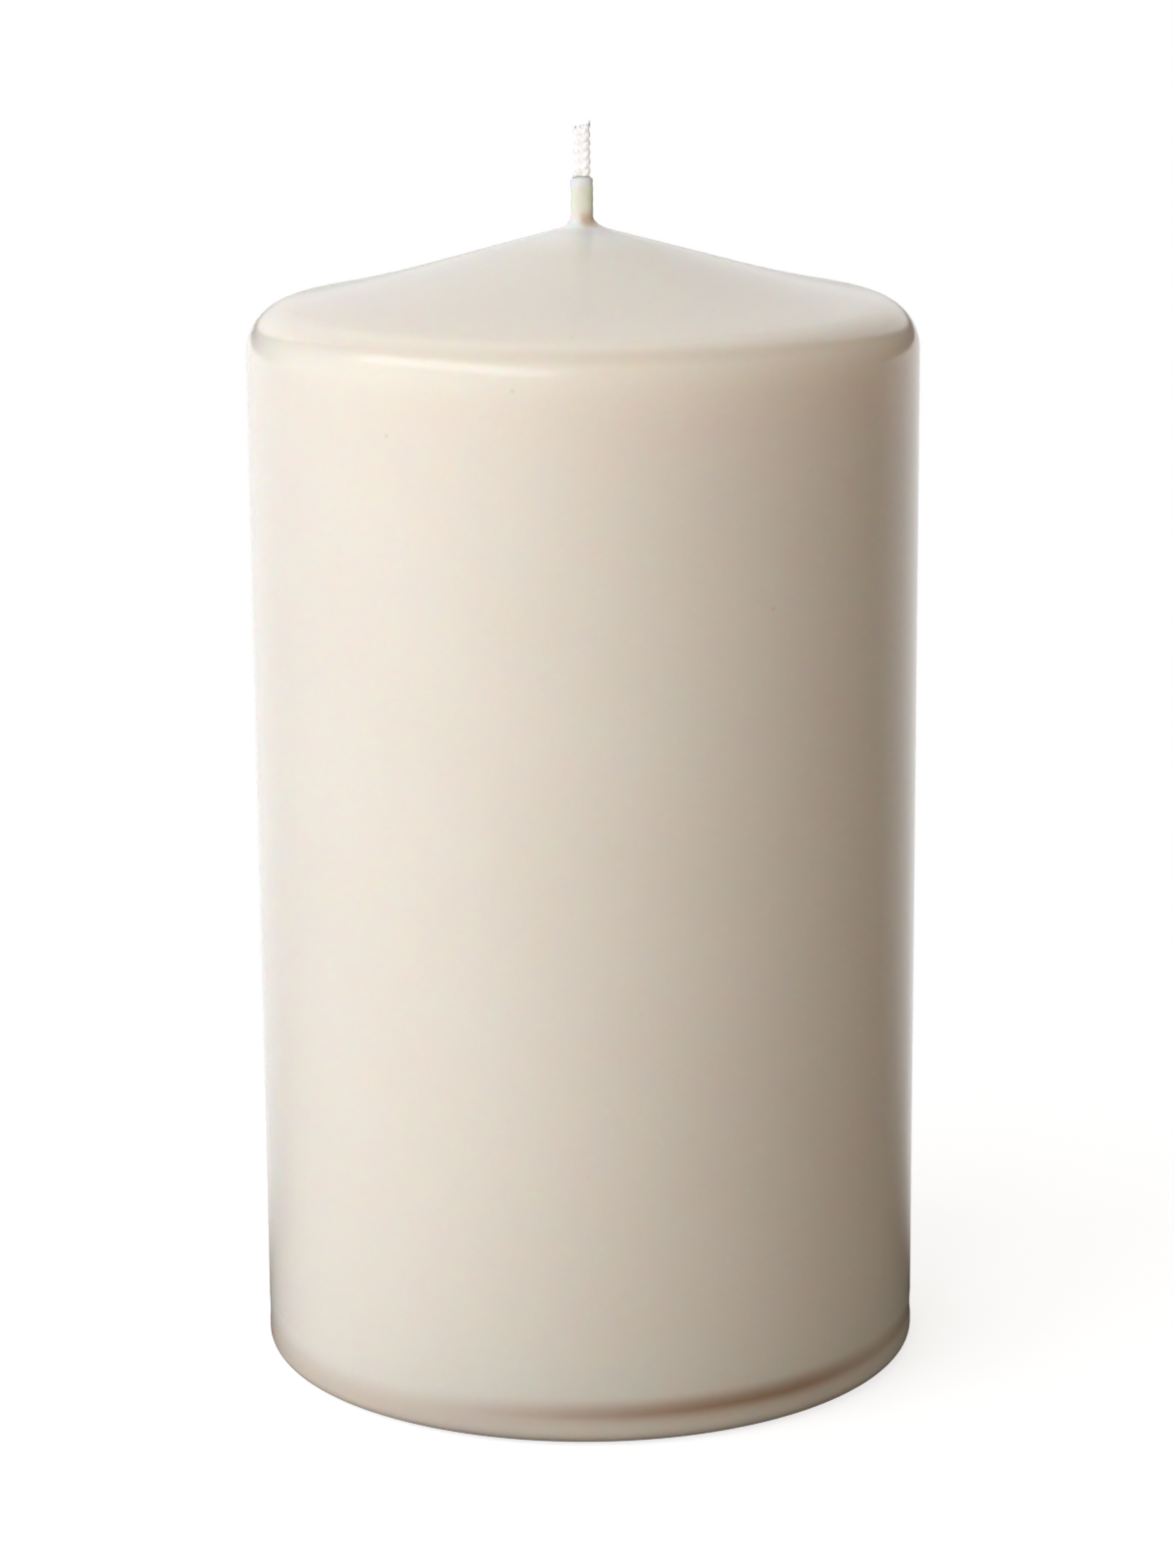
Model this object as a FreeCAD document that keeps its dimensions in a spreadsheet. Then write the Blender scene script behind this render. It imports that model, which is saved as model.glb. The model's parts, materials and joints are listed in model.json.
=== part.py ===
"""Pillar candle: a cast wax body with a tented top, and a flat plaited cotton wick.

Millimetres, +Z up. The origin is the middle of the circle that the candle stands on.
"""
import FreeCAD, Part
import math
import os

import Sketcher
from FreeCAD import Placement, Rotation, Vector

doc = FreeCAD.newDocument("PillarCandle")

# Driving dimensions, in millimetres and degrees
driving = {
    # wax body, from the foot up
    "body_diameter": 80,
    "rim_height": 123.1,  # where the straight side ends
    "foot_radius": 1.5,  # rounding under the foot
    "foot_ring": 8,  # width of the ring round the hollow underside
    "recess_depth": 1.0,
    "recess_slope": 30,  # its wall, up from the flat
    "neck_height": 3.6,  # middle of the shallow neck above the foot bead
    "neck_radius": 5,  # section radius of the neck
    "neck_depth": 0.2,
    # tented top: the round edge and a faint hollow are arcs that follow one another, and a cone closes them
    "edge_radius": 5.9,
    "edge_turn": 79.2,
    "hollow_radius": 190,
    "hollow_turn": 4.9,
    # wick
    "wick_width": 2.26,  # soaked in wax
    "wick_thickness": 1.36,
    "soaked_height": 0.25,  # soaked wick above the sleeve
    "wick_free": 11.2,  # from the peak of the wax to the cut, on the axis
    "cut_slope": 10,  # slanted scissor cut
    "end_step": 0.6,  # how far the strand left standing passes the cut
    "plait_width": 2.14,  # dry, above the sleeve
    "plait_thickness": 1.26,
    "plait_pick": 1.06,  # distance between neighbouring turns along one edge
    "strand_diameter": 0.76,
    "strand_tip": 0.44,  # its diameter where it dives under its neighbour
    "strand_straight": 0.6,  # its full part, where it crosses a face of the plait
    "strand_dive": 0.34,  # each tapering end
    "strand_lean": 42,  # its angle from the wick's axis
    # wax drawn up round the wick
    "sleeve_wall": 0.24,
    "sleeve_height": 5.1,  # above the peak
    "sleeve_taper": 0.6,
    "meniscus_radius": 1.3,
}

sizes = doc.addObject("Spreadsheet::Sheet", "Sizes")
for row, (alias, value) in enumerate(driving.items(), start=1):
    sizes.set(f"A{row}", alias)
    sizes.set(f"B{row}", str(value))
    sizes.setAlias(f"B{row}", alias)
doc.recompute()

PEAK = "WaxProfile.Constraints.peak"  # where the cone of the top would meet the axis
START, END, CENTRE = range(1, 4)  # the points of a sketch's curve
ACROSS, UPWARD = range(-1, -3, -1)  # a sketch's own axes
ORIGIN = (ACROSS, START)


def number(formula):
    """Value of a formula over the sheet, in millimetres or degrees."""
    found = sizes.evalExpression(formula)
    return float(getattr(found, "Value", found))


def new_body(label):
    body = doc.addObject("PartDesign::Body", label)
    body.Label = label
    body.Placement = Placement()
    return body


def origin_feature(body, role):
    return next(item for item in body.Origin.OriginFeatures if item.Role == role)


def new_sketch(body, name, plane, turn_axis=None, **offset):
    """A sketch on one of the body's own planes, moved and turned by formulas in that plane's frame."""
    sketch = body.newObject("Sketcher::SketchObject", name)
    sketch.AttachmentSupport = [(origin_feature(body, plane), "")]
    sketch.MapMode = "FlatFace"
    if turn_axis:
        sketch.AttachmentOffset = Placement(Vector(), Rotation(turn_axis, 1))
        sketch.setExpression("AttachmentOffset.Rotation.Angle", offset.pop("angle"))
    for direction, formula in offset.items():
        sketch.setExpression(f"AttachmentOffset.Base.{direction}", formula)
    return sketch


def constrain(sketch, *terms):
    return sketch.addConstraint(Sketcher.Constraint(*terms))


def dimension(sketch, name, formula, kind, *where):
    """A named dimension of a sketch, bound to the sheet."""
    value = math.radians(number(formula)) if kind == "Angle" else number(formula)
    sketch.renameConstraint(constrain(sketch, kind, *where, value), name)
    sketch.setExpression(f"Constraints.{name}", formula)


def reference(sketch, name, kind, *where):
    """A measured dimension that other features read."""
    index = constrain(sketch, kind, *where, 1)
    sketch.setDriving(index, False)
    sketch.renameConstraint(index, name)


def new_feature(body, kind, name, profile, **formulas):
    feature = body.newObject(f"PartDesign::{kind}", name)
    feature.Profile = profile
    for prop, formula in formulas.items():
        feature.setExpression(prop, formula)
    body.Tip = feature
    return feature


def turn_about_axis(body, kind, name, profile):
    feature = new_feature(body, kind, name, profile)
    feature.ReferenceAxis = (profile, ["V_Axis"])
    feature.Angle = 360
    doc.recompute()
    return feature


def fillet(body, name, feature, edges, radius):
    rounded = body.newObject("PartDesign::Fillet", name)
    rounded.Base = (feature, edges)
    rounded.setExpression("Radius", radius)
    doc.recompute()
    return rounded


def foot_edge(shape):
    """Name of the outer circle that a turned shape stands on."""
    standing = [(edge.BoundBox.XMax, f"Edge{place}") for place, edge in enumerate(shape.Edges, start=1)
                if edge.isClosed() and abs(edge.BoundBox.ZMax) < 0.01]
    return max(standing)[1]


def arc(centre, radius, start, end):
    circle = Part.Circle(centre, Vector(0, 0, 1), radius)
    return Part.ArcOfCircle(circle, math.radians(start), math.radians(end))


def on_circle(centre, radius, angle):
    turn = math.radians(angle)
    return centre + Vector(radius * math.cos(turn), radius * math.sin(turn), 0)


def slot_outline(sketch, width, thickness):
    """Two straights joined by half rounds, round the origin."""
    half = number(thickness) / 2
    right, up = Vector(number(width) / 2 - half, 0, 0), Vector(0, half, 0)
    sketch.addGeometry([
        arc(right, half, -90, 90),
        Part.LineSegment(up + right, up - right),
        arc(-right, half, 90, 270),
        Part.LineSegment(-right - up, right - up),
    ])
    for side in range(4):
        constrain(sketch, "Tangent", side, END, (side + 1) % 4, START)
    constrain(sketch, "Equal", 0, 2)
    constrain(sketch, "Symmetric", 0, CENTRE, 2, CENTRE, *ORIGIN)
    constrain(sketch, "PointOnObject", 0, CENTRE, ACROSS)
    dimension(sketch, "round", f"({thickness}) / 2", "Radius", 0)
    dimension(sketch, "reach", f"({width}) - ({thickness})", "DistanceX", 2, CENTRE, 0, CENTRE)


def wax_profile(body):
    """Half section of the wax body without its wick hole, turned about the candle's axis."""
    sketch = new_sketch(body, "WaxProfile", "XZ_Plane")
    half_width = "Sizes.body_diameter / 2"
    recess_edge = "Sizes.body_diameter / 2 - Sizes.foot_ring"
    foot = Vector(number(half_width), 0, 0)
    rim = foot + Vector(0, number("Sizes.rim_height"), 0)
    recess = Vector(number(recess_edge), 0, 0)
    recess_top = recess + Vector(number("-Sizes.recess_depth / tan(Sizes.recess_slope * 1 deg)"),
                                 number("Sizes.recess_depth"), 0)
    hub = Vector(0, recess_top.y, 0)

    edge_r, hollow_r = number("Sizes.edge_radius"), number("Sizes.hollow_radius")
    edge_end = number("Sizes.edge_turn")
    hollow_start = edge_end + 180
    hollow_end = hollow_start - number("Sizes.hollow_turn")
    edge_centre = rim - Vector(edge_r, 0, 0)
    hollow_centre = on_circle(edge_centre, edge_r + hollow_r, edge_end)
    cone_foot = on_circle(hollow_centre, hollow_r, hollow_end)
    peak = Vector(0, cone_foot.y + cone_foot.x / math.tan(math.radians(hollow_end - 180)), 0)

    floor, wall, ring, side, edge, hollow, cone, axle = range(8)
    sketch.addGeometry([
        Part.LineSegment(hub, recess_top),
        Part.LineSegment(recess_top, recess),
        Part.LineSegment(recess, foot),
        Part.LineSegment(foot, rim),
        arc(edge_centre, edge_r, 0, edge_end),
        arc(hollow_centre, hollow_r, hollow_end, hollow_start),
        Part.LineSegment(cone_foot, peak),
        Part.LineSegment(peak, hub),
    ])
    for first, second in ((floor, wall), (wall, ring), (ring, side), (cone, axle), (axle, floor)):
        constrain(sketch, "Coincident", first, END, second, START)
    constrain(sketch, "Tangent", side, END, edge, START)
    constrain(sketch, "Tangent", edge, END, hollow, END)
    constrain(sketch, "Tangent", hollow, START, cone, START)
    constrain(sketch, "Horizontal", floor)
    constrain(sketch, "Vertical", side)
    constrain(sketch, "PointOnObject", ring, START, ACROSS)
    constrain(sketch, "PointOnObject", ring, END, ACROSS)
    constrain(sketch, "PointOnObject", axle, START, UPWARD)
    constrain(sketch, "PointOnObject", axle, END, UPWARD)
    dimension(sketch, "half_width", half_width, "DistanceX", *ORIGIN, side, START)
    dimension(sketch, "rim_height", "Sizes.rim_height", "DistanceY", *ORIGIN, side, END)
    dimension(sketch, "recess_edge", recess_edge, "DistanceX", *ORIGIN, ring, START)
    dimension(sketch, "recess_depth", "Sizes.recess_depth", "DistanceY", *ORIGIN, floor, START)
    dimension(sketch, "recess_slope", "180 - Sizes.recess_slope", "Angle", wall, START, ring, START)
    for name, curve in (("edge", edge), ("hollow", hollow)):
        dimension(sketch, f"{name}_radius", f"Sizes.{name}_radius", "Radius", curve)
        dimension(sketch, f"{name}_turn", f"Sizes.{name}_turn", "Angle", curve)
    reference(sketch, "peak", "DistanceY", *ORIGIN, axle, START)
    return sketch


def neck_section(body):
    """Section of the shallow groove that parts the foot bead from the side."""
    sketch = new_sketch(body, "NeckSection", "XZ_Plane")
    middle = "Sizes.body_diameter / 2 + Sizes.neck_radius - Sizes.neck_depth"
    centre = Vector(number(middle), number("Sizes.neck_height"), 0)
    sketch.addGeometry(Part.Circle(centre, Vector(0, 0, 1), number("Sizes.neck_radius")))
    dimension(sketch, "section", "Sizes.neck_radius", "Radius", 0)
    dimension(sketch, "middle", middle, "DistanceX", *ORIGIN, 0, CENTRE)
    dimension(sketch, "height", "Sizes.neck_height", "DistanceY", *ORIGIN, 0, CENTRE)
    return sketch


def make_wax_body():
    """The cast body: turned profile, neck above the foot, sleeve of drawn-up wax and the wick's channel."""
    body = new_body("wax_body")
    turn_about_axis(body, "Revolution", "TurnedWax", wax_profile(body))
    neck = turn_about_axis(body, "Groove", "Neck", neck_section(body))
    fillet(body, "FootRounding", neck, [foot_edge(neck.Shape)], "Sizes.foot_radius")

    sunk = "Sizes.wick_width"  # how deep the sleeve's section lies under the peak, well inside the wax
    sleeve_section = new_sketch(body, "SleeveSection", "XY_Plane", z=f"{PEAK} - {sunk} * 1 mm")
    slot_outline(sleeve_section, "Sizes.wick_width + 2 * Sizes.sleeve_wall",
                 "Sizes.wick_thickness + 2 * Sizes.sleeve_wall")
    sleeve = new_feature(body, "Pad", "Sleeve", sleeve_section,
                         Length=f"Sizes.sleeve_height + {sunk}", TaperAngle="-Sizes.sleeve_taper")
    doc.recompute()
    peak, margin = number(PEAK), number("Sizes.sleeve_wall")
    root = [f"Edge{place}" for place, edge in enumerate(sleeve.Shape.Edges, start=1)
            if edge.BoundBox.XMax < number(sunk) and peak - number(sunk) < edge.BoundBox.ZMin
            and edge.BoundBox.ZMax < peak + margin]
    fillet(body, "Meniscus", sleeve, root, "Sizes.meniscus_radius")

    channel_section = new_sketch(body, "ChannelSection", "XY_Plane")
    slot_outline(channel_section, "Sizes.wick_width", "Sizes.wick_thickness")
    channel = new_feature(body, "Pocket", "WickChannel", channel_section)
    channel.Type = "ThroughAll"
    channel.Reversed = True
    doc.recompute()


STRANDS = {  # each column of turns: side, face and place in the plait's rhythm, in picks
    "FrontRight": (1, 1, 3 / 8),
    "FrontLeft": (-1, 1, 7 / 8),
    "BackRight": (1, -1, 9 / 8),
    "BackLeft": (-1, -1, 5 / 8),
}
STRAND_SIDES = 8  # facets round a strand


def strand_section(body, name, diameter, **place):
    """A many-sided section square to a strand, with one flat to the front."""
    sketch = new_sketch(body, name, "XY_Plane", Vector(0, 1, 0), **place)
    radius = number(f"{diameter} / 2")
    corners = [on_circle(Vector(), radius, 360 * (step + 0.5) / STRAND_SIDES - 90)
               for step in range(STRAND_SIDES)]
    sketch.addGeometry([Part.LineSegment(corner, following)
                        for corner, following in zip(corners, corners[1:] + corners[:1])])
    ring = sketch.addGeometry(Part.Circle(Vector(), Vector(0, 0, 1), radius), True)
    constrain(sketch, "Coincident", ring, CENTRE, *ORIGIN)
    for side in range(STRAND_SIDES):
        constrain(sketch, "Coincident", side, END, (side + 1) % STRAND_SIDES, START)
        constrain(sketch, "PointOnObject", side, START, ring)
        if side:
            constrain(sketch, "Equal", side - 1, side)
    constrain(sketch, "Horizontal", STRAND_SIDES - 1)
    dimension(sketch, "round", f"{diameter} / 2", "Radius", ring)
    return sketch


def strand_row(body, name, stem_top, rows):
    """One column of the plait: a strand that crosses a face and dives at both ends, repeated up the wick."""
    side, face, rhythm = STRANDS[name]
    lean = "Sizes.strand_lean * 1 deg"
    out = f"((Sizes.plait_width - Sizes.strand_diameter - Sizes.strand_straight * sin({lean})) / 2)"
    stations = []
    for end in (-1, 1):
        full = f"{end} * Sizes.strand_straight / 2"
        tip = f"{end} * (Sizes.strand_straight / 2 + Sizes.strand_dive)"
        stations += [(full, "Sizes.strand_diameter"), (tip, "Sizes.strand_tip")][::end]
    sections = [
        strand_section(
            body, f"{name}Section{place}", diameter, angle=f"{side * face} * Sizes.strand_lean",
            x=f"{side} * {out} + {side * face} * ({along}) * sin({lean})",
            y=f"{-face} * (Sizes.plait_thickness - Sizes.strand_diameter) / 2",
            z=f"{stem_top} + (({rhythm} - 1) * Sizes.plait_pick + ({along}) * cos({lean})) * 1 mm",
        )
        for place, (along, diameter) in enumerate(stations)
    ]
    strand = new_feature(body, "AdditiveLoft", f"{name}Strand", sections[0])
    strand.Sections = sections[1:]
    strand.Ruled = True
    row = body.newObject("PartDesign::LinearPattern", f"{name}Row")
    row.Originals = [strand]
    row.Direction = (origin_feature(body, "Z_Axis"), [""])
    row.Mode = "Spacing"
    row.setExpression("Offset", "Sizes.plait_pick")
    row.setExpression("Occurrences", rows)
    body.Tip = row
    doc.recompute()


def scissor_cut(sketch):
    """What the scissors took off: all above a line, less a step that leaves the outermost strand longer."""
    reach, step_place = number("Sizes.wick_width"), number("Sizes.plait_width / 2 - Sizes.strand_diameter")
    step, top = number("Sizes.end_step"), number("Sizes.end_step + 2 * Sizes.wick_width")
    places = ((-reach, 0), (step_place, 0), (step_place, step), (reach, step), (reach, top), (-reach, top))
    corners = [Vector(*place, 0) for place in places]
    sketch.addGeometry([Part.LineSegment(corner, following)
                        for corner, following in zip(corners, corners[1:] + corners[:1])])
    line, rise, shelf, right, lid, left = range(6)
    for side in range(6):
        constrain(sketch, "Coincident", side, END, (side + 1) % 6, START)
    for side in (rise, right, left):
        constrain(sketch, "Vertical", side)
    for side in (line, shelf):
        constrain(sketch, "Horizontal", side)
    constrain(sketch, "PointOnObject", line, START, ACROSS)
    constrain(sketch, "Symmetric", left, START, lid, START, UPWARD)
    dimension(sketch, "step_place", "Sizes.plait_width / 2 - Sizes.strand_diameter",
              "DistanceX", *ORIGIN, line, END)
    dimension(sketch, "step", "Sizes.end_step", "DistanceY", rise, START, rise, END)
    dimension(sketch, "reach", "Sizes.wick_width", "DistanceX", *ORIGIN, shelf, END)
    dimension(sketch, "top", "Sizes.end_step + 2 * Sizes.wick_width", "DistanceY", *ORIGIN, right, END)


def make_wick():
    """The flat cotton wick: a plain stem where wax holds it, a plait of three strands above."""
    body = new_body("wick")
    stem_top = f"{PEAK} + (Sizes.sleeve_height + Sizes.soaked_height) * 1 mm"
    stem_section = new_sketch(body, "StemSection", "XY_Plane", z="Sizes.recess_depth")
    slot_outline(stem_section, "Sizes.wick_width", "Sizes.wick_thickness")
    new_feature(body, "Pad", "Stem", stem_section, Length=f"{stem_top} - Sizes.recess_depth * 1 mm")

    core_section = new_sketch(body, "CoreSection", "XY_Plane", z=f"{stem_top} - Sizes.plait_pick * 1 mm")
    slot_outline(core_section, "Sizes.plait_width - Sizes.strand_diameter", "Sizes.plait_thickness / 2")
    new_feature(body, "Pad", "Core", core_section,
                Length="Sizes.wick_free - Sizes.sleeve_height + Sizes.plait_pick + Sizes.end_step")
    doc.recompute()

    rows = "ceil((Sizes.wick_free - Sizes.sleeve_height + Sizes.end_step) / Sizes.plait_pick) + 1"
    for name in STRANDS:
        strand_row(body, name, stem_top, rows)

    cut_outline = new_sketch(body, "CutOutline", "XZ_Plane", Vector(0, 0, 1), angle="Sizes.cut_slope",
                             y=f"{PEAK} + Sizes.wick_free * 1 mm")
    scissor_cut(cut_outline)
    cut = new_feature(body, "Pocket", "ScissorCut", cut_outline)
    cut.Type = "ThroughAll"
    cut.Midplane = True
    doc.recompute()


make_wax_body()
make_wick()
doc.recompute()

for item in doc.Objects:
    if "Invalid" in item.State or "Error" in item.State:
        raise RuntimeError(f"{item.Name}: {item.getStatusString()}")
    if item.TypeId == "Sketcher::SketchObject" and not item.FullyConstrained:
        raise RuntimeError(f"{item.Name}: not fully constrained")
    if item.TypeId in ("PartDesign::Pocket", "PartDesign::Groove"):
        if item.Shape.Volume > item.BaseFeature.Shape.Volume - 0.01:
            raise RuntimeError(f"{item.Name}: cuts nothing")

pieces = [item for item in doc.Objects if item.TypeId == "PartDesign::Body"]
for piece in pieces:
    if piece.Shape.isNull() or not piece.Shape.isValid() or len(piece.Shape.Solids) != 1:
        raise RuntimeError(f"{piece.Label}: no valid single solid")

os.makedirs("parts", exist_ok=True)
for piece in pieces:
    piece.Shape.exportStep(f"parts/{piece.Label}.step")
    print(f"{piece.Label}: {piece.Shape.Volume / 1000:.2f} cm3")
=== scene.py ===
import bpy
import json
import math
import random
from mathutils import Matrix, Vector

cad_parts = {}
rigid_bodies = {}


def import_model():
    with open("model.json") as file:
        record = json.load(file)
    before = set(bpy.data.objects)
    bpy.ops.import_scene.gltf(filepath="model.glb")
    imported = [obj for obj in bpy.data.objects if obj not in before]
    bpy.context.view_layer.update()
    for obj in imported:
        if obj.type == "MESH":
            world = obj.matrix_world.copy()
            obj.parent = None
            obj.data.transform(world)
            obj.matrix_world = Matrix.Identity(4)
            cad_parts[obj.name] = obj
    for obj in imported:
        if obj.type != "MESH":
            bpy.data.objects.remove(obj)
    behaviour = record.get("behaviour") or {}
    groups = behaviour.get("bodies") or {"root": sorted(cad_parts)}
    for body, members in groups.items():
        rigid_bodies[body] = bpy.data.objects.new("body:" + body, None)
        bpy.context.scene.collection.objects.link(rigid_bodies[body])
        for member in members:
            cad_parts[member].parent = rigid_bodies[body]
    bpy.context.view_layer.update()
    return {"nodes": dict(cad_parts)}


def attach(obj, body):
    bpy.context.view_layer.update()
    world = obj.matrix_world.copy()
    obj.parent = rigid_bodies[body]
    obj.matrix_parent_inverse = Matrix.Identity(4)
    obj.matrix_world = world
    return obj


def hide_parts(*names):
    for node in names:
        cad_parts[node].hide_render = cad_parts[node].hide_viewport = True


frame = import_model()
print("frame loaded:", ", ".join(sorted(frame["nodes"])))

mm = 0.001  # the sizes below are in millimetres, unless a note says otherwise
random.seed(7)

# node settings that come back often
smooth = {"interpolation_type": "SMOOTHSTEP"}
multiply = {"operation": "MULTIPLY"}
multiplyAdd = {"operation": "MULTIPLY_ADD"}
mixColour = {"data_type": "RGBA"}
mixNumber = {"data_type": "FLOAT"}


def linear(hexColour):
    channels = [int(hexColour[i:i + 2], 16) / 255 for i in (1, 3, 5)]
    return [c / 12.92 if c <= 0.04045 else ((c + 0.055) / 1.055) ** 2.4 for c in channels] + [1.0]


def addNode(material, kind, settings=None, links=None, values=None):
    # one node: its properties, what feeds its sockets, and its fixed socket values
    node = material.node_tree.nodes.new(kind)
    for name, value in (settings or {}).items():
        setattr(node, name, value)
    for name, value in (values or {}).items():
        node.inputs[name].default_value = value
    for name, source in (links or {}).items():
        material.node_tree.links.new(source, node.inputs[name])
    return node


def newMaterial(name):
    material = bpy.data.materials.new(name)
    material.use_nodes = True
    material.node_tree.nodes.clear()
    return material


def selectOnly(*objects):
    if bpy.context.object and bpy.context.object.mode != "OBJECT":
        bpy.ops.object.mode_set(mode="OBJECT")
    bpy.ops.object.select_all(action="DESELECT")
    for item in objects:
        item.select_set(True)
    bpy.context.view_layer.objects.active = objects[0]


def startRing(name, ring, segments):
    # an open circle, pressed to the ring's two half axes, in edit mode
    bpy.ops.object.select_all(action="DESELECT")
    rx, ry, z = ring
    bpy.ops.mesh.primitive_circle_add(vertices=segments, radius=1, fill_type="NOTHING", location=(0, 0, 0))
    piece = bpy.context.object
    piece.name = piece.data.name = name
    bpy.ops.object.mode_set(mode="EDIT")
    bpy.ops.mesh.select_all(action="SELECT")
    bpy.ops.transform.resize(value=(rx * mm, ry * mm, 1), center_override=(0, 0, 0))
    bpy.ops.transform.translate(value=(0, 0, z * mm))
    return piece


def selectRim():
    # the one open edge of the piece
    bpy.ops.mesh.select_all(action="DESELECT")
    bpy.ops.mesh.select_non_manifold(
        extend=False, use_wire=False, use_boundary=True, use_multi_face=False, use_non_contiguous=False, use_verts=False)


def growRings(rings):
    # extrudes the open ring from one place to the next: each is (half width, half depth, height, shift along x)
    here = rings[0]
    for ring in rings[1:]:
        bpy.ops.mesh.extrude_region_move(TRANSFORM_OT_translate={"value": (0, 0, (ring[2] - here[2]) * mm)})
        hereX, ringX = (here[3] if len(here) > 3 else 0) * mm, (ring[3] if len(ring) > 3 else 0) * mm
        bpy.ops.transform.resize(
            value=(ring[0] / here[0], ring[1] / here[1], 1), center_override=(hereX, 0, ring[2] * mm))
        if ringX != hereX:
            bpy.ops.transform.translate(value=(ringX - hereX, 0, 0))
        here = ring


def ringedPiece(name, rings, segments):
    # a closed piece through all the rings, capped at both ends, with its faces outward
    piece = startRing(name, rings[0], segments)
    bpy.ops.mesh.fill()
    selectRim()
    growRings(rings)
    bpy.ops.mesh.fill()
    bpy.ops.mesh.select_all(action="SELECT")
    bpy.ops.mesh.normals_make_consistent(inside=False)
    bpy.ops.object.mode_set(mode="OBJECT")
    return piece


def arcRings(centreR, centreZ, radius, start, end, steps):
    # rings along an arc of the section, angles up from the outward horizontal
    rings = []
    for step in range(1, steps + 1):
        angle = math.radians(start + (end - start) * step / steps)
        r = centreR + radius * math.cos(angle)
        rings.append((r, r, centreZ + radius * math.sin(angle)))
    return rings


def straightRings(fromR, fromZ, toR, toZ, steps):
    rings = []
    for step in range(1, steps + 1):
        r = fromR + (toR - fromR) * step / steps
        rings.append((r, r, fromZ + (toZ - fromZ) * step / steps))
    return rings


# Wax body: a cast pillar, straight sided, with a rounded edge and a low tented top

waxSizes = {
    "segments": 256,
    "radius": 40.0,
    "footRounding": 1.5,
    "footRing": 8.0,
    "recessDepth": 1.0,
    "recessRun": 1.73,
    "eased": 0.3,  # the edges of the recess
    "neck": (2.3, 3.5, 3.8, 7.0),  # foot and top of its lower lip, start and end of its run out
    "neckDepth": 0.26,
    "neckDeepest": 34,  # azimuth from the front
    "neckShallow": 0.2,  # share of the depth on the far side from there
    "rimHeight": 123.1,
    "edgeRadius": 5.9,
    "edgeTurn": 79.2,  # degrees
    "hollowRadius": 190.0,
    "hollowTurn": 4.9,  # degrees
    "channel": (1.13, 0.68),  # the hole that the wick fills
    "channelLips": ((1.4, 0.95), (2.5, 2.2)),  # the oval that turns round beside it, underneath
    "pocket": 1.5,  # how deep it goes where it shows; further in, wax and wick are one
    "sleeve": (1.36, 0.9),  # wax drawn up round the wick
    "sleeveHeight": 5.1,
    "sleeveLip": (0.12, 0.16),  # how far its end rounds inwards and down
    "flare": 1.5,
    "flareStretch": 1.12,
    "flareLean": 0.16,  # the flare's foot stands this far to the right
    "slowWaves": (30, 0.05),  # length and depth of the unevenness left by casting
    "drips": (0.9, 0.14),  # the same on the sleeve
}


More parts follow.
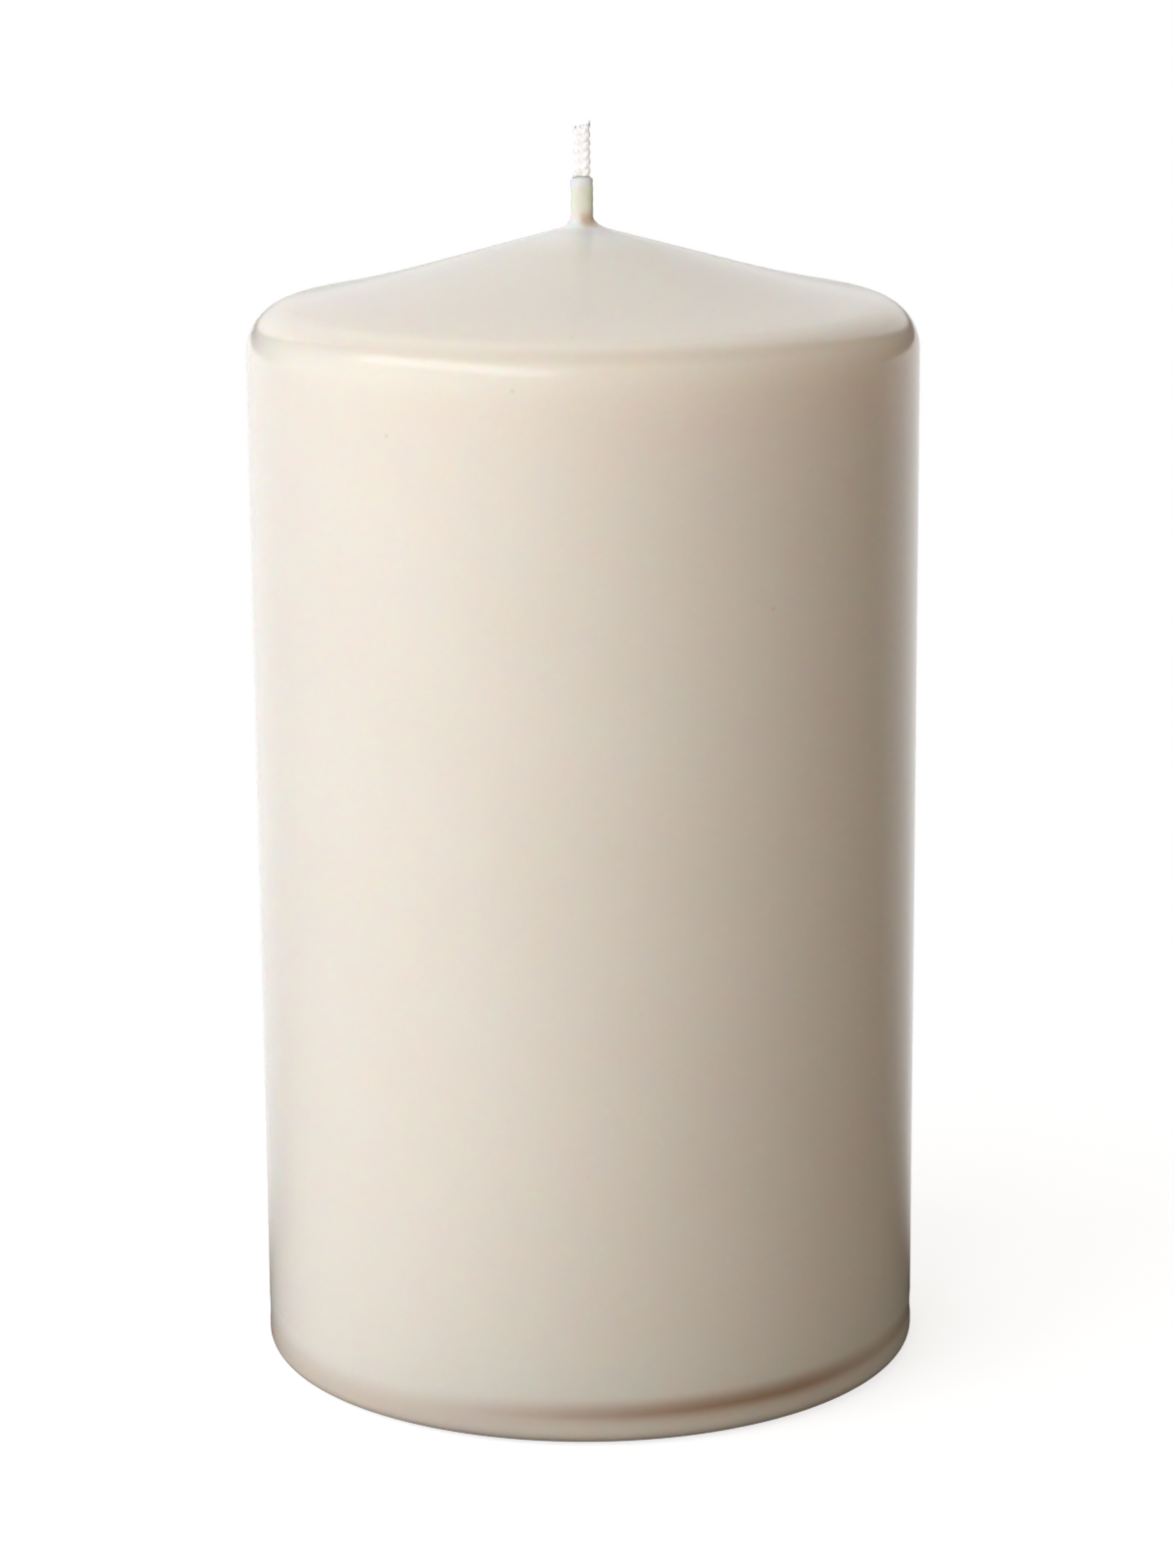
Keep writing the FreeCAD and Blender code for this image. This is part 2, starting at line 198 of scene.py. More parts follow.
def waxRings(s):
    # the section, from the wick's channel underneath, round the outside, to the channel on top
    radius, ringR, eased = s["radius"], s["radius"] - s["footRing"], s["eased"]
    recessR, recessZ = ringR - s["recessRun"], s["recessDepth"]
    channelX, channelY = s["channel"]
    rings = [(channelX, channelY, recessZ + s["pocket"]), (channelX, channelY, recessZ)]
    rings += [(*lip, recessZ) for lip in s["channelLips"]]
    rings += straightRings(s["channelLips"][1][0], recessZ, recessR - eased, recessZ, 8)[1:]
    rings += [(r, r, z) for r, z in (
        (recessR, recessZ - 0.05), (recessR + eased, recessZ - 0.18),
        (ringR - 0.35, 0.2), (ringR - 0.05, 0.05), (ringR + eased, 0))]
    rings += straightRings(ringR + eased, 0, radius - s["footRounding"] - 0.1, 0, 3)
    rings += arcRings(radius - s["footRounding"], s["footRounding"], s["footRounding"], -90, 0, 9)
    # straight rings for the neck, which is pressed in later
    lipFoot, lipTop, neckTop, neckEnd = s["neck"]
    heights = [lipFoot + (lipTop - lipFoot) * k / 6 for k in range(6)]
    heights += [lipTop + (neckTop - lipTop) * k / 2 for k in range(2)]
    heights += [neckTop + (neckEnd - neckTop) * k / 12 for k in range(13)]
    rings += [(radius, radius, z) for z in heights]
    rings += straightRings(radius, neckEnd, radius, s["rimHeight"], 34)
    rings += arcRings(radius - s["edgeRadius"], s["rimHeight"], s["edgeRadius"], 0, s["edgeTurn"], 18)
    # the tent starts with a wide hollow and then runs up straight
    edgeR, _, edgeZ = rings[-1]
    turn = math.radians(s["edgeTurn"])
    hollowR = edgeR + s["hollowRadius"] * math.cos(turn)
    hollowZ = edgeZ + s["hollowRadius"] * math.sin(turn)
    hollowStart = s["edgeTurn"] + 180
    rings += arcRings(hollowR, hollowZ, s["hollowRadius"], hollowStart, hollowStart - s["hollowTurn"], 10)
    coneR, _, coneZ = rings[-1]
    slope = math.radians(90 - s["edgeTurn"] + s["hollowTurn"])
    peak = coneZ + coneR * math.tan(slope)
    sleeveX, sleeveY = s["sleeve"]
    flare = s["flare"]
    flareFoot = sleeveX + flare
    coneEnd = flareFoot + 0.6
    rings += straightRings(coneR, coneZ, coneEnd, peak - coneEnd * math.tan(slope), 12)
    # the wax climbs the wick: the ring turns oval as it closes in
    base = peak - flareFoot * math.tan(slope)
    for step in range(1, 11):
        turned = slope + (math.pi / 2 - slope) * step / 10
        out = flare * (1 - math.sin(turned)) / (1 - math.sin(slope))
        up = flare * (math.cos(slope) - math.cos(turned)) * s["flareStretch"]
        rings.append((sleeveX + out, sleeveY + out, base + up, s["flareLean"] * out / flare))
    wall = base + up
    top = peak + s["sleeveHeight"]
    lipIn, lipDown = s["sleeveLip"]
    for step in range(1, 17):
        rings.append((sleeveX, sleeveY, wall + (top - lipDown - wall) * step / 16))
    for angle in (30, 60, 90):
        inset = lipIn * (1 - math.cos(math.radians(angle)))
        rings.append((sleeveX - inset, sleeveY - inset, top - lipDown + lipDown * math.sin(math.radians(angle))))
    rings.append((channelX + 0.01, channelY + 0.01, top - 0.02))
    rings.append((channelX, channelY, top - 0.25))
    rings.append((channelX, channelY, peak - s["pocket"]))
    return rings, peak


waxProfile, waxPeak = waxRings(waxSizes)
wax = ringedPiece("wax_cast_body", waxProfile, waxSizes["segments"])
bpy.ops.object.shade_smooth()
print("wax body:", len(wax.data.vertices), "vertices, peak", round(waxPeak, 2))


def vertexGroup(piece, name, chooses):
    group = piece.vertex_groups.new(name=name)
    group.add([v.index for v in piece.data.vertices if chooses(v.co)], 1, "REPLACE")
    return group


def displace(piece, name, group, size, depth, middle=1.0):
    # soft cloud relief, pressed inwards so that the piece keeps its full size
    texture = bpy.data.textures.new(name, "CLOUDS")
    texture.noise_scale = size * mm
    texture.noise_depth = 1
    modifier = piece.modifiers.new(name, "DISPLACE")
    modifier.texture = texture
    modifier.texture_coords = "LOCAL"
    modifier.strength = depth * mm
    modifier.mid_level = middle
    modifier.direction = "NORMAL"
    modifier.vertex_group = group.name
    selectOnly(piece)
    bpy.ops.object.modifier_apply(modifier=modifier.name)


def neckWeight(co):
    # deepest on the front right and nearly gone on the left, where the foot has sagged over it
    lipFoot, lipTop, neckTop, neckEnd = [v * mm for v in waxSizes["neck"]]
    if not lipFoot < co.z < neckEnd or math.hypot(co.x, co.y) < (waxSizes["radius"] - 1) * mm:
        return 0
    share = min(1, (co.z - lipFoot) / (lipTop - lipFoot), (neckEnd - co.z) / (neckEnd - neckTop))
    facing = 0.5 + 0.5 * math.cos(math.atan2(co.x, -co.y) - math.radians(waxSizes["neckDeepest"]))
    shallow = waxSizes["neckShallow"]
    return share * share * (3 - 2 * share) * (shallow + (1 - shallow) * facing**6)


neck = wax.vertex_groups.new(name="neck")
for vertex in wax.data.vertices:
    weight = neckWeight(vertex.co)
    if weight:
        neck.add([vertex.index], weight, "REPLACE")
press = wax.modifiers.new("neckPress", "DISPLACE")
press.vertex_group = "neck"
press.mid_level = 0
press.strength = -waxSizes["neckDepth"] * mm
selectOnly(wax)
bpy.ops.object.modifier_apply(modifier="neckPress")

skin = vertexGroup(wax, "skin", lambda co: co.z > 6 * mm and math.hypot(co.x, co.y) > 3 * mm)
displace(wax, "slowWaves", skin, *waxSizes["slowWaves"])
sleeveTop = (waxPeak + waxSizes["sleeveHeight"]) * mm
coat = vertexGroup(wax, "coat", lambda co: waxPeak * mm < co.z < sleeveTop and math.hypot(co.x, co.y) > 0.85 * mm)
displace(wax, "drips", coat, *waxSizes["drips"], middle=0.8)
wax.vertex_groups.clear()
print("wax body: neck, slow waves and drips pressed in")

# Wick: three cotton strands in a flat plait, plain where the wax holds it

wickSizes = {
    "segments": 48,
    "stem": (1.12, 0.67),
    "stemFoot": 1.0,
    "soaked": 5.3,  # plain oval stem up to here above the peak
    "cut": 11.2,  # above the peak, on the axis
    "cutSlope": 9.5,  # degrees
    "pick": 1.06,  # between neighbouring turns along one edge
    "sway": 0.67,  # how far a strand swings across the width
    "weave": 0.24,  # how far it swings from face to face
    "strandRadius": 0.41,
    "strandSteps": 52,
    "yarns": 7,
    "yarnSwell": (0.95, 1.02),  # between two yarns and on one, as shares of the strand's radius
    "yarnTwist": 75,  # degrees a millimetre
    "heart": (0.9, 0.5),  # half width and half depth of the filling between the strands
    "overlap": 0.12,  # how deep plait and loose yarns start inside what they grow from
    "voxel": 0.038,
    # loose yarns at the cut: how many, and the ranges of their place along x, rise and bow, and their radius
    "fray": (
        (5, (0.75, 1.05), (0.35, 0.62), (0.06, 0.16), 0.075),
        (4, (-0.95, 0.7), (0.05, 0.2), (-0.04, 0.04), 0.06),
    ),
}

stemTop = waxPeak + wickSizes["soaked"]
stemX, stemY = wickSizes["stem"]
stemHeights = (wickSizes["stemFoot"], 20, 45, 70, 95, 120, waxPeak - 2, waxPeak, stemTop - 0.5, stemTop - 0.2)
stemRings = [(stemX, stemY, z) for z in stemHeights]
for inset, rise in ((0.03, 0.1), (0.1, 0.17), (0.3, 0.2)):
    stemRings.append((stemX - inset, stemY - inset, stemTop - 0.2 + rise))
stem = ringedPiece("wick_stem", stemRings, wickSizes["segments"])

# outline of a strand: its yarns show as soft lobes
bpy.ops.object.select_all(action="DESELECT")
bpy.ops.curve.primitive_nurbs_circle_add(radius=wickSizes["strandRadius"] * mm, location=(0, 0, 0))
yarnOutline = bpy.context.object
outline = yarnOutline.data.splines[0]
lobes = 2 * wickSizes["yarns"]
outline.points.add(lobes - len(outline.points))
for number, point in enumerate(outline.points):
    swell = wickSizes["yarnSwell"][number % 2] * wickSizes["strandRadius"] * mm
    angle = 2 * math.pi * number / lobes
    point.co = (swell * math.cos(angle), swell * math.sin(angle), 0, 1)
outline.order_u = 3
outline.resolution_u = 3


def addStrand(name, points, outlineObject=None, twist=0, thickness=0):
    # a smooth curve through the points, given the yarns' outline or a plain round one, made a mesh
    bpy.ops.object.select_all(action="DESELECT")
    bpy.ops.curve.primitive_nurbs_path_add(radius=mm, location=(0, 0, 0))
    strand = bpy.context.object
    strand.name = strand.data.name = name
    spline = strand.data.splines[0]
    spline.points.add(len(points) - len(spline.points))
    for point, co in zip(spline.points, points):
        point.co = (*[v * mm for v in co[:3]], 1)
        point.radius = co[3] if len(co) > 3 else 1
        point.tilt = math.radians(twist * (co[2] - points[0][2]))
    spline.order_u = 3
    spline.use_endpoint_u = True
    spline.resolution_u = 3
    strand.data.twist_mode = "MINIMUM"
    strand.data.use_fill_caps = True
    if outlineObject:
        strand.data.bevel_mode = "OBJECT"
        strand.data.bevel_object = outlineObject
    else:
        strand.data.bevel_depth = thickness * mm
        strand.data.bevel_resolution = 2
    selectOnly(strand)
    bpy.ops.object.convert(target="MESH")
    return bpy.context.object


cutHeight = waxPeak + wickSizes["cut"]
cutSlant = math.radians(wickSizes["cutSlope"])
plaitFoot = stemTop - wickSizes["overlap"]
plait = []
for number in range(3):
    points = []
    for step in range(wickSizes["strandSteps"] + 1):
        z = plaitFoot + (cutHeight + 0.8 - plaitFoot) * step / wickSizes["strandSteps"]
        phase = 2 * math.pi * ((z - plaitFoot) / (3 * wickSizes["pick"]) + number / 3)
        points.append((wickSizes["sway"] * math.sin(phase), -wickSizes["weave"] * math.sin(2 * phase), z))
    plait.append(addStrand(f"strand{number}", points, yarnOutline, wickSizes["yarnTwist"]))

# the hearts of the yarns, which fill the hollows between the strands
heartRings = [(*wickSizes["heart"], z) for z in (plaitFoot, stemTop + 2, stemTop + 4, cutHeight + 0.6)]
plait.append(ringedPiece("wick_heart", heartRings, wickSizes["segments"] // 2))

# scissor cut, slanted across the width
for part in plait:
    selectOnly(part)
    bpy.ops.object.mode_set(mode="EDIT")
    bpy.ops.mesh.select_all(action="SELECT")
    bpy.ops.mesh.bisect(
        plane_co=(0, 0, cutHeight * mm), plane_no=(-math.sin(cutSlant), 0, math.cos(cutSlant)),
        use_fill=True, clear_outer=True)
    bpy.ops.object.mode_set(mode="OBJECT")

# one skin round the strands and hearts, so that light passes from one to the next
selectOnly(*plait)
bpy.ops.object.join()
plaitSkin = bpy.context.object
plaitSkin.name = plaitSkin.data.name = "wick_plait"
remesh = plaitSkin.modifiers.new("oneSkin", "REMESH")
remesh.mode = "VOXEL"
remesh.voxel_size = wickSizes["voxel"] * mm
bpy.ops.object.modifier_apply(modifier="oneSkin")

# loose yarns left standing at the cut, most of them on the right
fray = []
for count, acrossRange, riseRange, bowRange, thickness in wickSizes["fray"]:
    for _ in range(count):
        x = random.uniform(*acrossRange)
        y = random.uniform(-0.3, 0.25)
        rise = random.uniform(*riseRange)
        bow = random.uniform(*bowRange)
        foot = cutHeight + math.tan(cutSlant) * x
        points = [
            (x - 0.02, y, foot - wickSizes["overlap"], 1.0), (x + 0.4 * bow, y, foot - 0.04, 1.0),
            (x + bow, y - 0.02, foot + 0.15 * rise, 0.9), (x + 0.8 * bow, y - 0.03, foot + 0.55 * rise, 0.7),
            (x + 0.3 * bow, y, foot + rise, 0.25),
        ]
        fray.append(addStrand(f"yarn{len(fray)}", points, thickness=thickness))

selectOnly(stem, plaitSkin, *fray)
bpy.ops.object.join()
wick = bpy.context.object
wick.name = wick.data.name = "wick_plaited_cotton"
bpy.data.objects.remove(yarnOutline)
selectOnly(wick)
bpy.ops.object.shade_smooth_by_angle(angle=math.radians(50))
print("wick:", len(wick.data.vertices), "vertices,", len(fray), "loose yarns")

# Stage, camera and lights

studio = {
    "floorRadius": 6.0,  # metres
    "floorColour": "#D2D2D2",
    "floorLift": 0.71,  # what the camera sees on top of the lit floor, for a white one
    "floorBounce": "#8C8072",  # what the candle gets back from the floor
    "shadowWhite": (50, 140),  # the floor's shading fades to pure white between these distances
    "leftGlowColour": "#F8F8FF",  # painted light: the floor glows on the left, lighting the candle from below
    "leftGlowStrength": 0.65,
    "leftGlowEdge": (-60, -10),  # where it fades out, along x
    "sheetWidth": -0.65,  # how soon the white sheet behind the candle ends towards the sides
    "sheetEdge": 0.03,  # how soft that end is
    "sheetFill": 0.03,  # how far the sheet also lights the candle
    "dimGloss": 0.03,  # the room outside the sheet, in the wax's gloss
    "dimFloor": (0.3, 0.92),  # the floor turns from dim to white between these shares of straight behind
}
bpy.ops.object.select_all(action="DESELECT")
bpy.ops.mesh.primitive_circle_add(
    vertices=96, radius=studio["floorRadius"], fill_type="NGON", location=(0, 0, -0.0002))
floor = bpy.context.object
floor.name = "studio_floor"

cameraSizes = {
    "place": (0.093, -514.307, 192.667),
    "pitch": 13.443,  # degrees down
    "roll": -0.425,  # degrees
    "focalPixels": 4365.03,
    "imageHeight": 1576,  # pixels
    "sensor": 36,
}
bpy.ops.object.camera_add(location=[v * mm for v in cameraSizes["place"]])
camera = bpy.context.object
camera.name = "photo_camera"
lookDown = Matrix.Rotation(math.radians(90 - cameraSizes["pitch"]), 4, "X")
cameraTurn = lookDown @ Matrix.Rotation(math.radians(cameraSizes["roll"]), 4, "Z")
camera.rotation_euler = cameraTurn.to_euler()
camera.data.sensor_width = cameraSizes["sensor"]
camera.data.lens = cameraSizes["focalPixels"] / cameraSizes["imageHeight"] * cameraSizes["sensor"]
camera.data.clip_end = 100
bpy.context.scene.camera = camera

lights = {
    # name: (azimuth, elevation, distance, width, height, watts, colour), lengths in metres
    "keySoftbox": (-53, 47, 0.95, 1.2, 0.28, 3.1, "#FFFFFF"),
    "frontFill": (-5, 16, 0.9, 0.5, 0.4, 1.6, "#FFFFFF"),
    "highBack": (-165, 62, 0.9, 0.7, 0.5, 1.25, "#FFFFFF"),
    "lowSoftbox": (-54, 8, 0.9, 0.8, 0.5, 3.4, "#F3F6FF"),
    "rightFill": (47, 28, 0.9, 0.5, 0.5, 1.12, "#FFE6CA"),
    "topSoftbox": (-85, 66, 0.9, 0.7, 0.7, 0.8, "#FFFFFF"),
    "backPanel": (144, 6, 1.2, 1.2, 0.4, 2.2, "#FFF3E4"),
    "wickFront": (24, 14, 0.9, 0.7, 0.6, 1.7, "#FFFFFF"),
    "wickBack": (165, 25, 0.9, 0.7, 0.6, 1.8, "#FFFFFF"),
}
wickLamps = ("wickFront", "wickBack")


def addSoftbox(name, azimuth, elevation, distance, width, height, watts, colour):
    aim = Vector((0, 0, 0.075))
    a, e = math.radians(azimuth), math.radians(elevation)
    away = Vector((math.sin(a) * math.cos(e), -math.cos(a) * math.cos(e), math.sin(e)))
    bpy.ops.object.light_add(type="AREA", location=aim + away * distance)
    lamp = bpy.context.object
    lamp.name = name
    lamp.rotation_euler = away.to_track_quat("Z", "Y").to_euler()
    lamp.data.shape = "RECTANGLE"
    lamp.data.size, lamp.data.size_y = width, height
    lamp.data.energy = watts
    lamp.data.color = linear(colour)[:3]
    lamp.visible_camera = False
    return lamp


# Only the key is mirrored in the wax. The cotton is thin enough for the white round it to shine through, which two
# lamps that light the wick alone stand in for.
wickOnly = bpy.data.collections.new("wickOnly")
wickOnly.objects.link(wick)
for name, settings in lights.items():
    lamp = addSoftbox(name, *settings)
    if name in wickLamps:
        lamp.light_linking.receiver_collection = wickOnly
    elif name != "keySoftbox":
        lamp.visible_glossy = False

# The camera always sees white. In the wax's gloss a white sheet hangs behind the candle and over it, and the rest of
# the room is dim.
world = bpy.data.worlds.new("white_studio")
bpy.context.scene.world = world
world.use_nodes = True
world.node_tree.nodes.clear()
worldPath = addNode(world, "ShaderNodeLightPath")
towards = addNode(world, "ShaderNodeSeparateXYZ", {}, {0: addNode(world, "ShaderNodeTexCoord").outputs["Generated"]})
backAndUp = addNode(world, "ShaderNodeMath", multiply, {0: towards.outputs["Y"], 1: towards.outputs["Z"]})
aside = addNode(world, "ShaderNodeMath", multiply, {0: towards.outputs["X"], 1: towards.outputs["X"]})
sheet = addNode(world, "ShaderNodeMath", multiplyAdd, {0: aside.outputs[0], 2: backAndUp.outputs[0]}, {
    1: studio["sheetWidth"]})
sheetLevel = addNode(world, "ShaderNodeMapRange", smooth, {"Value": sheet.outputs[0]}, {
    "From Min": -studio["sheetEdge"], "From Max": studio["sheetEdge"], "To Min": studio["dimGloss"], "To Max": 1.0})
sheetFill = addNode(world, "ShaderNodeMath", multiply, {0: sheetLevel.outputs[0]}, {1: studio["sheetFill"]})
roomLevel = addNode(world, "ShaderNodeMix", mixNumber, {
    "Factor": worldPath.outputs["Is Diffuse Ray"], "A": sheetLevel.outputs[0], "B": sheetFill.outputs[0]})
seenOrThrough = addNode(world, "ShaderNodeMath", {"operation": "ADD", "use_clamp": True}, {
    0: worldPath.outputs["Is Camera Ray"], 1: worldPath.outputs["Is Transmission Ray"]})
worldLevel = addNode(world, "ShaderNodeMix", mixNumber, {
    "Factor": seenOrThrough.outputs[0], "A": roomLevel.outputs[0]}, {"B": 1.0})
background = addNode(world, "ShaderNodeBackground", {}, {"Strength": worldLevel.outputs[0]}, {"Color": (1, 1, 1, 1)})
addNode(world, "ShaderNodeOutputWorld", {}, {"Surface": background.outputs[0]})
bpy.context.scene.view_settings.view_transform = "Standard"
print("studio:", len(lights), "lamps, floor, camera and white room")

# Materials

# cast paraffin wax: light sinks in and comes back warm, under a satin skin
waxMaterial = newMaterial("cast_paraffin_wax")
waxPlace = addNode(waxMaterial, "ShaderNodeTexCoord").outputs["Object"]
waxAxes = addNode(waxMaterial, "ShaderNodeSeparateXYZ", {}, {0: waxPlace})
flatPlace = addNode(waxMaterial, "ShaderNodeVectorMath", multiply, {0: waxPlace}, {1: (1, 1, 0)})
fromAxis = addNode(waxMaterial, "ShaderNodeVectorMath", {"operation": "LENGTH"}, {0: flatPlace.outputs[0]})
follows = {"x": waxAxes.outputs["X"], "height": waxAxes.outputs["Z"], "from axis": fromAxis.outputs["Value"]}

waxBands = {
    # name: (what it follows, start, end, share before the start, share past the end)
    "foot": ("height", 3.6, 6.0, 1.0, 0.0),
    "neckLine": ("height", 1.8, 3.8, 0.26, 1.0),
    "farRightFades": ("x", 24, 36, 1.0, 0.5),
    "leftFoot": ("height", 2.2, 5.4, 0.33, 0.0),
    "shadeTowardsRight": ("x", -26, 20, 0.0, 1.0),
    "rimRises": ("height", 125.8, 127.1, 0.0, 0.3),
    "rimEnds": ("height", 127.3, 128.4, 1.0, 0.0),
    "leftRimFades": ("x", -38, -28, 0.0, 1.0),
    "litNearWick": ("from axis", 2, 11, 1.0, 0.0),
    "sleeve": ("height", waxPeak + 0.2, waxPeak + 1.8, 0.0, 1.0),
    "litSleeveEnd": ("height", waxPeak + 3.4, waxPeak + 5.0, 0.0, 1.0),
}
shares = {}
for name, (followed, start, end, low, high) in waxBands.items():
    band = addNode(waxMaterial, "ShaderNodeMapRange", smooth, {"Value": follows[followed]}, {
        "From Min": start * mm, "From Max": end * mm, "To Min": low, "To Max": high})
    shares[name] = band.outputs[0]
for name, factors in {
        "shadedRightFoot": ("foot", "neckLine", "farRightFades"), "rim": ("rimRises", "rimEnds", "leftRimFades")}.items():
    first = addNode(waxMaterial, "ShaderNodeMath", multiply, {0: shares[factors[0]], 1: shares[factors[1]]})
    both = addNode(waxMaterial, "ShaderNodeMath", multiply, {0: first.outputs[0], 1: shares[factors[2]]})
    shares[name] = both.outputs[0]
# the foot's tone: warmer wax all round, plus painted shade in the neck and at the floor that deepens towards the
# right
footToneAndShade = addNode(waxMaterial, "ShaderNodeMix", mixNumber, {
    "Factor": shares["shadeTowardsRight"], "A": shares["leftFoot"], "B": shares["shadedRightFoot"]})

# a ragged tan patch at the sleeve's root, on the right
fromTanPatch = addNode(waxMaterial, "ShaderNodeVectorMath", {"operation": "DISTANCE"}, {0: waxPlace}, {
    1: (0.8 * mm, -1.1 * mm, (waxPeak + 0.3) * mm)})
tanPatchNoise = addNode(waxMaterial, "ShaderNodeTexNoise", {}, {"Vector": waxPlace}, {"Scale": 900, "Detail": 2})
ragged = addNode(waxMaterial, "ShaderNodeMath", multiplyAdd, {
    0: tanPatchNoise.outputs["Fac"], 2: fromTanPatch.outputs["Value"]}, {1: 0.8 * mm})
tanPatchShare = addNode(waxMaterial, "ShaderNodeMapRange", smooth, {"Value": ragged.outputs[0]}, {
    "From Min": 0.7 * mm, "From Max": 2.1 * mm, "To Min": 0.6, "To Max": 0.0})

# a few specks of dust under the skin, about 7 mm from cell to cell, with one cell in five having one
dustCells = addNode(waxMaterial, "ShaderNodeTexVoronoi", {}, {"Vector": waxPlace}, {"Scale": 140})
dustSpot = addNode(waxMaterial, "ShaderNodeMapRange", smooth, {"Value": dustCells.outputs["Distance"]}, {
    "From Min": 0.01, "From Max": 0.06, "To Min": 0.45, "To Max": 0.0})
dustLot = addNode(waxMaterial, "ShaderNodeSeparateColor", {}, {0: dustCells.outputs["Color"]})
dustRare = addNode(waxMaterial, "ShaderNodeMath", {"operation": "GREATER_THAN"}, {0: dustLot.outputs[0]}, {1: 0.8})
dustShare = addNode(waxMaterial, "ShaderNodeMath", multiply, {0: dustSpot.outputs[0], 1: dustRare.outputs[0]})

# clouds of two close tones about 17 mm across, and over them each tone as far as its share says
cloud = addNode(waxMaterial, "ShaderNodeTexNoise", {}, {"Vector": waxPlace}, {
    "Scale": 60, "Detail": 3, "Roughness": 0.55})
waxTone = addNode(waxMaterial, "ShaderNodeMix", mixColour, {0: cloud.outputs["Fac"]}, {
    6: linear("#F4EEE4"), 7: linear("#F1EADE")})
for share, colour in (
        (footToneAndShade.outputs[0], "#BC9F86"),  # partly the neck and foot's own warmer wax, partly painted shade in the neck and near the floor, darkest on the right, away from the light
        (shares["rim"], "#D6CCBE"),  # painted shade: a darker band high on the rounded rim, fading out on the left
        # painted light: the tent is painted paler near the wick, against the shade the wick casts there
        (shares["litNearWick"], "#FFFCF4"),
        (shares["sleeve"], "#FBF8E4"),  # the sleeve is soaked and greener, and painted paler for the light that shines through its thin wax
        # painted light: the sleeve's end is painted near white
        (shares["litSleeveEnd"], "#FFFFFD"),
        (tanPatchShare.outputs[0], "#CBA678"),
        (dustShare.outputs[0], "#DCCFB8")):
    waxTone = addNode(waxMaterial, "ShaderNodeMix", mixColour, {0: share, 6: waxTone.outputs[2]}, {7: linear(colour)})

# light sinks less deep in the sleeve, near the peak and in the foot, where the wax is thin
thickOut = addNode(waxMaterial, "ShaderNodeMapRange", smooth, {"Value": fromAxis.outputs["Value"]}, {
    "From Min": 1.5 * mm, "From Max": 10.5 * mm, "To Min": 0.15 * mm, "To Max": 11 * mm})
thinFoot = addNode(waxMaterial, "ShaderNodeMapRange", {}, {"Value": waxAxes.outputs["Z"]}, {
    "From Min": 0.0, "From Max": 8 * mm, "To Min": 0.14, "To Max": 1.0})
sinkDepth = addNode(waxMaterial, "ShaderNodeMath", multiply, {0: thickOut.outputs[0], 1: thinFoot.outputs[0]})
waxShader = addNode(waxMaterial, "ShaderNodeBsdfPrincipled", {"subsurface_method": "RANDOM_WALK"}, {
    "Base Color": waxTone.outputs[2], "Subsurface Scale": sinkDepth.outputs[0]}, {
    "Roughness": 0.15, "IOR": 1.44, "Subsurface Weight": 1.0, "Subsurface Radius": (1.0, 0.52, 0.27),
})
addNode(waxMaterial, "ShaderNodeOutputMaterial", {}, {"Surface": waxShader.outputs[0]})
wax.data.materials.append(waxMaterial)

# bleached cotton, plaited: matt and a little downy, and light passes through the thin strands
cottonMaterial = newMaterial("plaited_cotton")
cottonPlace = addNode(cottonMaterial, "ShaderNodeTexCoord")
cottonAxes = addNode(cottonMaterial, "ShaderNodeSeparateXYZ", {}, {0: cottonPlace.outputs["Object"]})
dryShare = addNode(cottonMaterial, "ShaderNodeMapRange", {}, {"Value": cottonAxes.outputs["Z"]}, {
    "From Min": (stemTop - 0.3) * mm, "From Max": (stemTop + 0.9) * mm})
cottonTone = addNode(cottonMaterial, "ShaderNodeMix", mixColour, {0: dryShare.outputs[0]}, {
    6: linear("#E9E6D6"), 7: linear("#FDFDFB")})
cottonShader = addNode(cottonMaterial, "ShaderNodeBsdfPrincipled", {}, {"Base Color": cottonTone.outputs[2]}, {
    "Roughness": 0.8, "Sheen Weight": 0.3, "Sheen Roughness": 0.4,
    "Subsurface Weight": 0.9, "Subsurface Radius": (1, 1, 1), "Subsurface Scale": 0.7 * mm,
})
addNode(cottonMaterial, "ShaderNodeOutputMaterial", {}, {"Surface": cottonShader.outputs[0]})
wick.data.materials.clear()
wick.data.materials.append(cottonMaterial)

# matt white board: keeps the candle's soft shadow near it, and is plain white further out
floorMaterial = newMaterial("matt_white_board")
floorPath = addNode(floorMaterial, "ShaderNodeLightPath")
floorPlace = addNode(floorMaterial, "ShaderNodeTexCoord").outputs["Object"]
floorAxes = addNode(floorMaterial, "ShaderNodeSeparateXYZ", {}, {0: floorPlace})
away = addNode(floorMaterial, "ShaderNodeVectorMath", {"operation": "LENGTH"}, {0: floorPlace})
board = addNode(floorMaterial, "ShaderNodeBsdfDiffuse", {}, {}, {"Color": linear(studio["floorColour"])})
lift = addNode(floorMaterial, "ShaderNodeEmission", {}, {}, {"Color": (1, 1, 1, 1), "Strength": studio["floorLift"]})
litBoard = addNode(floorMaterial, "ShaderNodeAddShader", {}, {0: board.outputs[0], 1: lift.outputs[0]})
white = addNode(floorMaterial, "ShaderNodeEmission", {}, {}, {"Color": (1, 1, 1, 1), "Strength": 1.0})
fade = addNode(floorMaterial, "ShaderNodeMapRange", smooth, {"Value": away.outputs["Value"]}, {
    "From Min": studio["shadowWhite"][0] * mm, "From Max": studio["shadowWhite"][1] * mm})
seenFloor = addNode(floorMaterial, "ShaderNodeMixShader", {}, {
    "Fac": fade.outputs[0], 1: litBoard.outputs[0], 2: white.outputs[0]})
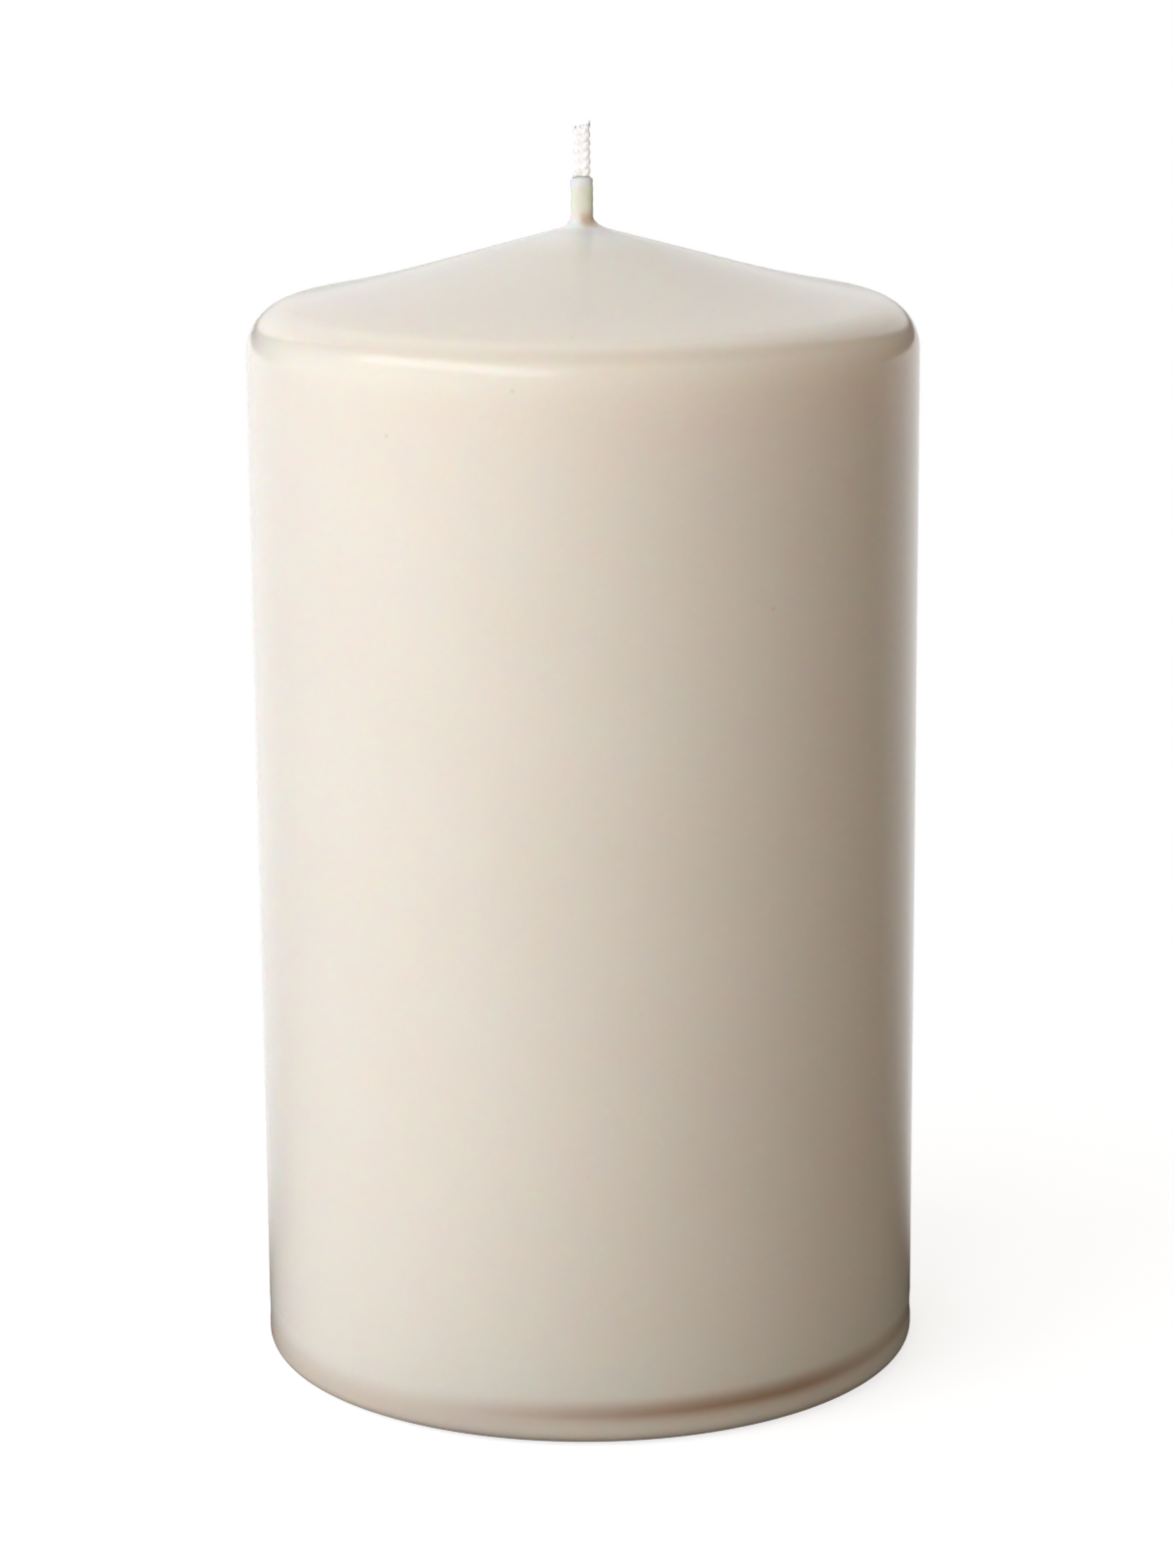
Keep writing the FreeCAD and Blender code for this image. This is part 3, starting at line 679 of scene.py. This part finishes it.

# what the candle gets back from it: a plain bounce, and on the left a painted glow that lights the candle from below
# though no lamp is there
plainBounce = addNode(floorMaterial, "ShaderNodeBsdfDiffuse", {}, {}, {"Color": linear(studio["floorBounce"])})
leftGlowFade = addNode(floorMaterial, "ShaderNodeMapRange", smooth, {"Value": floorAxes.outputs["X"]}, {
    "From Min": studio["leftGlowEdge"][0] * mm, "From Max": studio["leftGlowEdge"][1] * mm,
    "To Min": studio["leftGlowStrength"], "To Max": 0.0})
paintedLeftGlow = addNode(floorMaterial, "ShaderNodeEmission", {}, {"Strength": leftGlowFade.outputs[0]}, {
    "Color": linear(studio["leftGlowColour"])})
bounce = addNode(floorMaterial, "ShaderNodeAddShader", {}, {0: plainBounce.outputs[0], 1: paintedLeftGlow.outputs[0]})

# in the wax's gloss the floor is dim at the front and sides, and white only behind the candle
behind = addNode(floorMaterial, "ShaderNodeMath", {"operation": "DIVIDE"}, {
    0: floorAxes.outputs["Y"], 1: away.outputs["Value"]})
inFront = addNode(floorMaterial, "ShaderNodeMapRange", smooth, {"Value": behind.outputs[0]}, {
    "From Min": studio["dimFloor"][0], "From Max": studio["dimFloor"][1], "To Min": 1.0, "To Max": 0.0})
dimShare = addNode(floorMaterial, "ShaderNodeMath", multiply, {
    0: inFront.outputs[0], 1: floorPath.outputs["Is Glossy Ray"]})
dimFloor = addNode(floorMaterial, "ShaderNodeEmission", {}, {}, {
    "Color": (1, 1, 1, 1), "Strength": studio["dimGloss"]})
glossOrSeen = addNode(floorMaterial, "ShaderNodeMixShader", {}, {
    "Fac": dimShare.outputs[0], 1: seenFloor.outputs[0], 2: dimFloor.outputs[0]})
floorShader = addNode(floorMaterial, "ShaderNodeMixShader", {}, {
    "Fac": floorPath.outputs["Is Diffuse Ray"], 1: glossOrSeen.outputs[0], 2: bounce.outputs[0]})
addNode(floorMaterial, "ShaderNodeOutputMaterial", {}, {"Surface": floorShader.outputs[0]})
floor.data.materials.append(floorMaterial)
print("materials: wax, cotton and white board")

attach(wax, "root")
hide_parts("wax_body")
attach(wick, "root")
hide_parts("wick")
